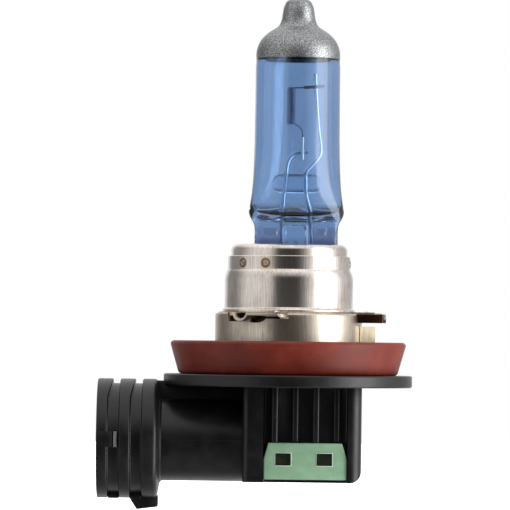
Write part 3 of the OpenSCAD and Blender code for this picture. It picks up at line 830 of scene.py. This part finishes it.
def make_tab_ring():
    edge = 0.35
    line = ([(RING_R - 1.9, RING_FOOT), (RING_R, RING_FOOT), (RING_R, -2), (RING_R, 0.2)]
            + arc(RING_R - edge, SEAT_TOP - edge, edge, 0, 90, 6)
            + [(FERRULE_R + 0.4, SEAT_TOP), (FERRULE_R + 0.4, SEAT_TOP - SHEET)]
            + [(RING_R - SHEET, SEAT_TOP - SHEET), (RING_R - SHEET, RING_FOOT + SHEET),
               (RING_R - 1.9, RING_FOOT + SHEET)])
    ring = turned("ring", line, 0, 192)
    tabs = []
    for angle in TAB_ANGLES:
        # The gap that the tab was bent out of
        gap = block("gap", (-TAB_W / 2 + 0.1, RING_R - 0.7, 0.22), (TAB_W / 2 - 0.1, RING_R + 1, 0.5))
        near, far = RING_R - 0.72, RING_R + 1.1
        hollow = turned("hollow", [(0, near), (0.8, near), (0.8, far), (0, far)], 0, 32, closed=False)
        put(hollow, Matrix.Translation((0.8, 0, 0.485)) @ Matrix.Scale(1.9, 4, (1, 0, 0))
            @ Matrix.Rotation(-math.pi / 2, 4, "X"))
        face_out = Matrix.Rotation(math.radians(angle - 90), 4, "Z")
        ring = combined(ring, put(gap, face_out), "DIFFERENCE")
        ring = combined(ring, put(hollow, face_out), "DIFFERENCE")
        tab = bevelled(make_tab(), 0.06, 2, 50)
        # Painted shade on each tab's bent edge, for the shadow and dark reflection it sits in.
        edge_x = TAB_W / 2 - 0.52
        paint_light_and_shade(tab, 0.85, lambda co: co.x > edge_x)
        # A dark plug in each boss is painted shade, where the boss only holds shadow.
        plug = block("plug", (BOSS_SHIFT - 0.8, 0.9, 0.02), (BOSS_SHIFT + 0.8, 1.4, SEAT_TOP - 0.05))
        paint_light_and_shade(plug, 1.0)
        place = face_out @ Matrix.Translation((0, RING_R - 0.75, 0))
        tabs += [put(tab, place), put(plug, place)]
    # The stop's faint cream tint is a painted warm reflection.
    stop = plate("stop", [(RING_R - 0.3, -2.6), (RING_R + 1.7, -1.82), (RING_R + 1.7, 1.82),
                          (RING_R - 0.3, 2.6)], 0.6, 4.6)
    stop = paint_light_and_shade(put(stop, Matrix.Rotation(-math.pi / 2, 4, "X")), 0.14)
    # A dark collar behind the gaps and a dark plug in each boss are painted shade, put where the ring is only
    # in shadow.
    collar = turned("collar", [(8.5, -1), (8.5, -2.5), (8.78, -2.5), (8.78, 0.5), (8.5, 0.5)], 0, 96)
    ring = joined("tab_ring_shell", [ring, stop, paint_light_and_shade(collar, 1.0)] + tabs)
    finish(ring, RING_STEEL, ["tab_ring"], 40)



def make_spot_welds():
    """Low domes with a raised rim, where the electrode pressed."""
    line = [(0, 0.1), (0.16, 0.09), (0.26, 0.05), (0.32, 0.09), (0.38, 0.07), (0.43, 0.0), (0.43, -0.1),
            (0, -0.1)]
    dome = turned("dome", line, 0, 32, closed=False)
    spots = []
    for angle in WELD_ANGLES:
        aim = Matrix.Rotation(math.radians(angle), 4, "Z") @ Matrix.Rotation(math.pi / 2, 4, "Y")
        spots.append(copied(dome, "spot", Matrix.Translation(on_ring(BAND_R, angle, WELD_Z)) @ aim))
    finish(joined("ferrule_spot_welds", spots), WELD, ["ferrule_welds"], 60)
    spots = []
    for angle in TAB_ANGLES:
        spot = Matrix.Translation((RING_R + 0.6, 0.8, SEAT_TOP + 0.25)) @ Matrix.Scale(0.8, 4)
        spots.append(copied(dome, "spot", Matrix.Rotation(math.radians(angle), 4, "Z") @ spot))
    finish(joined("foot_spot_welds", spots), WELD, ["foot_welds"], 60)
    bpy.data.objects.remove(dome)


# ---------------------------------------------------------------------------
# Gasket and base
# ---------------------------------------------------------------------------

def make_gasket():
    taper = [(GASKET_R - 0.94 + 0.94 * t, FLANGE_TOP + 0.5 + (GASKET_TOP - 0.5 - FLANGE_TOP - 0.5) * t)
             for t in (0, 0.25, 0.5, 0.75, 1)]
    line = ([(HUB_R, FLANGE_TOP), (GASKET_R - 1.5, FLANGE_TOP), (GASKET_R - 1.2, FLANGE_TOP + 0.08),
             (GASKET_R - 1.02, FLANGE_TOP + 0.25)] + taper
            + arc(GASKET_R - 0.45, GASKET_TOP - 0.45, 0.45, 5, 90, 7)
            + [(14.2, GASKET_TOP), (14.1, GASKET_TOP - 0.05), (13.9, GASKET_TOP - 0.05), (13.8, GASKET_TOP),
               (13.25, GASKET_TOP), (13.1, GASKET_TOP - 0.1), (12.95, GASKET_TOP - 0.35),
               (HUB_R, GASKET_TOP - 0.35)])
    finish(turned("gasket_ring", line, 0, 192), SILICONE, ["gasket"], 45)


def make_shroud():
    """The plug housing: ribs outside, then over the mouth and down the inside of the socket."""
    h, w, groove, wall = PLUG_HALF_H, PLUG_HALF_W, 0.6, 1.2
    back, mouth = PLUG_BACK, PLUG_MOUTH
    inner = groove + wall
    steps = [(back + 0.02, 1.95), (back - 0.26, 0.42), (back - 0.36, 0.2), (back - 0.54, 0.06),
             (back - 0.8, 0), (mouth + 5.8, 0), (mouth + 5.8, groove),
             (mouth + 4.3, groove), (mouth + 4.3, 0), (mouth + 2.9, 0), (mouth + 2.9, groove),
             (mouth + 1.4, groove), (mouth + 1.4, 0), (mouth, 0), (mouth, inner), (back - wall, inner)]
    stations = [(x, h - d, w - d) for x, d in steps] + [(back - wall, 2.5, 5.6), (-13.0, 2.5, 5.6)]
    shroud = oval_loft("shroud", stations, PLUG_Z)
    # The ribs are wider over the top
    for vertex in shroud.data.vertices:
        x, up = vertex.co.x - mouth, (vertex.co.z - PLUG_Z) / h
        radius = math.hypot(vertex.co.y / w, up)
        if radius > 0.9 and (1.3 < x < 1.5 or 4.2 < x < 4.4):
            vertex.co.x += 0.5 * smooth_step(up, 0.66, 1.0)
    return bevelled(shroud, 0.16, 3, 50)


def make_plug_details():
    """Key, key end, rail, latch ramp and the mould's parting ridge."""
    mouth, foot, front = PLUG_MOUTH, PLUG_Z - PLUG_HALF_H, -PLUG_HALF_W
    key = block("key", (mouth, front - 0.1, PLUG_Z - 1.0), (mouth + 2.05, front + 1.1, PLUG_Z + 1.0))
    bevelled(key, 0.08, 2)
    wedge = plate("wedge", [(mouth + 2.25, front - 0.05), (mouth + 2.92, front + 0.4),
                            (mouth + 2.92, front + 1.1), (mouth + 2.25, front + 1.1)], -1.0, 1.0)
    put(wedge, Matrix.Translation((0, 0, PLUG_Z)) @ Matrix.Rotation(-math.pi / 2, 4, "X"))
    rail = bevelled(block("rail", (mouth + 1.45, -3, foot - 0.02), (mouth + 2.85, 3, foot + 1)), 0.08, 2)
    rail_2 = bevelled(block("rail", (mouth + 4.35, -3, foot - 0.05), (mouth + 5.75, 3, foot + 1)), 0.08, 2)
    ramp = plate("ramp", [(-20.3, foot + 0.3), (-20.3, foot), (-19.35, foot - 1.45), (-16.65, foot - 1.1),
                          (-16.65, foot + 0.3)], -2.2, 2.2)
    ridge = bevelled(block("ridge", (PLUG_BACK, -NECK_HALF_W - 0.05, PLUG_Z - 0.13),
                           (BODY_LEFT + 1, NECK_HALF_W + 0.05, PLUG_Z - 0.03)), 0.03, 2)
    return [key, wedge, rail, rail_2, bevelled(ramp, 0.12, 2), ridge]


def make_body():
    """The upright body under the flange, hollowed at the front, with its ribs."""
    body = block("body", (BODY_LEFT, BODY_FRONT, BODY_FOOT), (BODY_RIGHT, BODY_BACK, FLANGE_FOOT + 0.4))
    pick(body)
    bpy.ops.object.mode_set(mode="EDIT")
    bpy.ops.mesh.select_mode(type="EDGE")
    bpy.ops.mesh.select_all(action="DESELECT")
    bpy.ops.object.mode_set(mode="OBJECT")
    for edge in body.data.edges:
        a, b = (body.data.vertices[i].co for i in edge.vertices)
        edge.select = a.x > 0 and b.x > 0 and (abs(a.z - b.z) > 1 or (abs(a.y - b.y) > 1 and a.z < -15))
    bpy.ops.object.mode_set(mode="EDIT")
    bpy.ops.mesh.bevel(offset=1.5, segments=8, affect="EDGES")
    bpy.ops.mesh.select_all(action="DESELECT")
    bpy.ops.object.mode_set(mode="OBJECT")
    for edge in body.data.edges:
        a, b = (body.data.vertices[i].co for i in edge.vertices)
        edge.select = a.x < 0 and b.x < 0 and abs(a.z - b.z) > 1
    bpy.ops.object.mode_set(mode="EDIT")
    bpy.ops.mesh.bevel(offset=0.8, segments=5, affect="EDGES")
    bpy.ops.object.mode_set(mode="OBJECT")
    body = bevelled(body, 0.15, 3, 60)
    recess = block("recess", (RECESS_LEFT, BODY_FRONT - 1, BODY_FOOT - 1),
                   (RECESS_RIGHT, RECESS_Y, FLANGE_FOOT))
    body = combined(body, bevelled(recess, 0.25, 3), "DIFFERENCE")
    chamber = block("chamber", (-2.4, BODY_FRONT - 1, -20.1), (7.0, 2.1, -15.85))
    body = combined(body, chamber, "DIFFERENCE")
    ribs = []
    for i in range(4):
        x = -1.66 + 2.65 * i
        front = BODY_FRONT + (0.15 if i % 2 == 0 else 0.65)
        rib = block("rib", (x - 0.4, front, -15.62), (x + 0.4, RECESS_Y + 0.3, FLANGE_FOOT + 0.3))
        ribs.append(bevelled(rib, 0.24, 4))
    return [body] + ribs


def make_housing():
    hub = turned("hub", [(0, FLANGE_FOOT), (FLANGE_R, FLANGE_FOOT), (FLANGE_R, FLANGE_TOP),
                         (HUB_R, FLANGE_TOP), (HUB_R, HUB_TOP), (0, HUB_TOP)], 0, 176, closed=False)
    hub = bevelled(hub, 0.24, 4, 50)
    neck_z = PLUG_Z - 0.1
    neck = oval_loft("neck", [(PLUG_BACK - 0.3, NECK_HALF_H + 0.35, NECK_HALF_W + 0.35),
                              (PLUG_BACK + 0.06, NECK_HALF_H + 0.33, NECK_HALF_W + 0.33),
                              (PLUG_BACK + 0.2, NECK_HALF_H + 0.14, NECK_HALF_W + 0.14),
                              (PLUG_BACK + 0.3, NECK_HALF_H, NECK_HALF_W),
                              (BODY_LEFT + 2, NECK_HALF_H, NECK_HALF_W)], neck_z)
    web = block("web", (PLUG_BACK - 0.75, -2.2, PLUG_Z), (BODY_LEFT + 1, 2.2, FLANGE_FOOT + 0.6))
    bevelled(web, 0.1, 2)
    parts = [hub] + make_body() + [neck, web, make_shroud()] + make_plug_details()
    finish(joined("plug_base", parts), BLACK_PLASTIC, ["base_housing"], 40)


def make_cover():
    low, high = COVER_LOW, COVER_HIGH
    line = [(-2.44, high.z), (7.0, high.z), (high.x, high.z - 2.05), (high.x, low.z), (low.x, low.z),
            (low.x, high.z - 2.05)]
    cover = bevelled(plate("cover", line, low.y, RECESS_Y), 0.14, 3, 30)
    rim, lip = 0.1, 0.05
    for x in WINDOW_X:
        frame_block = block("rim", (x - 1 - rim, low.y - lip, WINDOW_FOOT - rim),
                            (x + 1 + rim, low.y + 0.4, WINDOW_TOP + rim))
        cover = combined(cover, bevelled(frame_block, 0.04, 2), "UNION")
        window = block("window", (x - 1, low.y - 1, WINDOW_FOOT), (x + 1, RECESS_Y + 1, WINDOW_TOP))
        cover = combined(cover, window, "DIFFERENCE")
    finish(cover, GREEN_PLASTIC, ["terminal_cover"], 40)
    # The rims' front faces take the paler plastic: a painted highlight round the windows.
    cover.data.materials.append(HIGHLIGHT_EDGE_PLASTIC)
    for face in cover.data.polygons:
        face.material_index = 1 if face.center.y < (low.y - 0.002) * MM else 0


# ---------------------------------------------------------------------------
# Camera, floor and light
# ---------------------------------------------------------------------------

def make_camera():
    """Level with the gasket, 600 mm in front, and rolled because the bulb stands 0.7 degrees off upright."""
    eye = Vector((-4.45, -600, -3)) * MM
    aim = Vector((-4.45, 0, 8.51)) * MM
    data = bpy.data.cameras.new("camera")
    data.sensor_width = 36
    data.lens = 36 * 600 / 66.15
    data.clip_start = 0.01
    camera = bpy.data.objects.new("camera", data)
    bpy.context.scene.collection.objects.link(camera)
    look = (aim - eye).to_track_quat("-Z", "Y").to_matrix().to_4x4()
    roll = Matrix.Rotation(math.radians(0.7), 4, "Z")
    camera.matrix_world = Matrix.Translation(eye) @ look @ roll
    bpy.context.scene.camera = camera


def make_floor():
    """A pale floor well below the bulb, so that no shadow falls on it."""
    begin()
    bpy.ops.mesh.primitive_circle_add(vertices=64, radius=3, fill_type="NGON", location=(0, 0, -0.08))
    floor = named("floor")
    material, _, shader, _ = new_finish("white_paper_floor", Roughness=0.9, Emission_Strength=1.0)
    shader.inputs["Base Color"].default_value = linear("#ffffff")
    shader.inputs["Emission Color"].default_value = linear("#ffffff")
    floor.data.materials.append(material)
    floor.visible_diffuse = False
    floor.visible_glossy = False
    floor.visible_transmission = False
    floor.visible_shadow = False


def make_studio():
    """A soft box on each side, the right one brighter, and a dark gap between them. The camera sees plain
    white instead, and so does most of what looks through the glass."""
    world = bpy.data.worlds.new("studio")
    bpy.context.scene.world = world
    world.use_nodes = True
    tree = world.node_tree
    tree.nodes.clear()
    place = add_node(tree, "ShaderNodeTexCoord").outputs["Generated"]
    part = add_node(tree, "ShaderNodeSeparateXYZ", {"Vector": place})
    ahead = add_node(tree, "ShaderNodeMath", {0: part.outputs["Y"], 1: -1.0}, operation="MULTIPLY")
    round_angle = add_node(tree, "ShaderNodeMath", {0: part.outputs["X"], 1: ahead.outputs["Value"]},
                           operation="ARCTAN2")
    turn = add_node(tree, "ShaderNodeMapRange", {"Value": round_angle.outputs["Value"],
                                                 "From Min": -math.pi, "From Max": math.pi})
    sides = add_node(tree, "ShaderNodeValToRGB", {"Fac": turn.outputs["Result"]})
    # Brightness against the angle round the bulb, 0 at the front and positive to the right
    stops = ((-180, 1.0), (-154, 0.95), (-144, 0.36), (-112, 0.28), (-98, 0.5), (-88, 0.8), (-42, 0.94),
             (-33, 0.78), (-24, 0.07), (0, 0.045), (17, 0.045), (28, 0.28), (36, 0.72), (48, 1.0), (54, 5.6),
             (84, 5.6), (92, 1.6), (112, 0.8), (150, 0.6), (160, 0.95), (180, 1.0))
    scale = 7.0
    round_it = sides.color_ramp
    while len(round_it.elements) < len(stops):
        round_it.elements.new(0.5)
    for element, (angle, level) in zip(round_it.elements, stops):
        element.position = (angle + 180) / 360
        element.color = (level / scale, level / scale, level / scale, 1)
    height = add_node(tree, "ShaderNodeMapRange", {"Value": part.outputs["Z"], "From Min": -1.0,
                                                   "From Max": 1.0})
    upright = add_node(tree, "ShaderNodeValToRGB", {"Fac": height.outputs["Result"]})
    above = upright.color_ramp
    for position, level in ((0.25, 0.0), (0.66, 0.0), (0.84, 1.0)):
        above.elements.new(position).color = (level, level, level, 1)
    above.elements[0].color = (1, 1, 1, 1)
    above.elements[-1].color = (1, 1, 1, 1)
    ends = add_node(tree, "ShaderNodeValToRGB", {"Fac": height.outputs["Result"]})
    ends.color_ramp.elements[0].color = (0.05, 0.05, 0.05, 1)
    ends.color_ramp.elements[-1].color = (0.2, 0.2, 0.2, 1)
    mixed = add_node(tree, "ShaderNodeMix", {0: upright.outputs["Color"], 6: sides.outputs["Color"],
                                             7: ends.outputs["Color"]}, data_type="RGBA")
    white = add_node(tree, "ShaderNodeBackground", {"Color": (1, 1, 1, 1), "Strength": 1.0})
    path = add_node(tree, "ShaderNodeLightPath")
    # The light that reaches the parts inside the glass is brighter, to make up for what the blue coat takes
    inside = add_node(tree, "ShaderNodeMath", {0: path.outputs["Transmission Depth"], 1: 2.5},
                      operation="GREATER_THAN")
    power = add_node(tree, "ShaderNodeMath", {0: inside.outputs["Value"], 1: 0.7 * scale, 2: scale},
                     operation="MULTIPLY_ADD")
    light = add_node(tree, "ShaderNodeBackground", {"Color": mixed.outputs[2],
                                                    "Strength": power.outputs["Value"]})
    # What shows through the glass: a white sheet, darker well above and below it
    sheet = add_node(tree, "ShaderNodeValToRGB", {"Fac": height.outputs["Result"]})
    tone = sheet.color_ramp
    for position, level in ((0.26, 0.075), (0.36, 0.24), (0.64, 0.24), (0.74, 0.075), (0.82, 0.075),
                            (0.88, 1.0)):
        tone.elements.new(position).color = (level, level, level, 1)
    tone.elements[0].color = (0.075, 0.075, 0.075, 1)
    tone.elements[-1].color = (1, 1, 1, 1)
    behind = add_node(tree, "ShaderNodeBackground", {"Color": sheet.outputs["Color"], "Strength": 4.0})
    # Rays that went straight through see it, and so do bent ones that leave towards the back
    straight = add_node(tree, "ShaderNodeMath", {0: path.outputs["Glossy Depth"], 1: 0.5},
                        operation="LESS_THAN")
    shallow = add_node(tree, "ShaderNodeMath", {0: path.outputs["Transmission Depth"], 1: 2.5},
                       operation="LESS_THAN")
    away = add_node(tree, "ShaderNodeMath", {0: part.outputs["Y"], 1: 0.0}, operation="GREATER_THAN")
    edge = add_node(tree, "ShaderNodeMath", {0: shallow.outputs["Value"], 1: away.outputs["Value"]},
                    operation="MULTIPLY")
    either = add_node(tree, "ShaderNodeMath", {0: straight.outputs["Value"], 1: edge.outputs["Value"]},
                      operation="MAXIMUM")
    through = add_node(tree, "ShaderNodeMath", {0: path.outputs["Is Transmission Ray"],
                                                1: either.outputs["Value"]}, operation="MULTIPLY")
    seen = add_node(tree, "ShaderNodeMixShader", {0: through.outputs["Value"], 1: light.outputs["Background"],
                                                  2: behind.outputs["Background"]})
    both = add_node(tree, "ShaderNodeMixShader", {0: path.outputs["Is Camera Ray"], 1: seen.outputs["Shader"],
                                                  2: white.outputs["Background"]})
    add_node(tree, "ShaderNodeOutputWorld", {"Surface": both.outputs["Shader"]})
    bpy.context.scene.view_settings.view_transform = "Standard"


make_camera()
make_floor()
make_studio()
make_glass()
make_seal_lenses()
make_coating()
make_wires()
make_filament()
make_bead()
make_ferrule()
make_sleeve()
make_tab_ring()
make_spot_welds()
make_gasket()
make_housing()
make_cover()

for node, material in (("pinch_clamp", STEEL), ("contact_blade_front", TINNED),
                       ("contact_blade_rear", TINNED), ("lead_welds", WELD)):
    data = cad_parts[node].data
    data.materials.clear()
    data.materials.append(material)
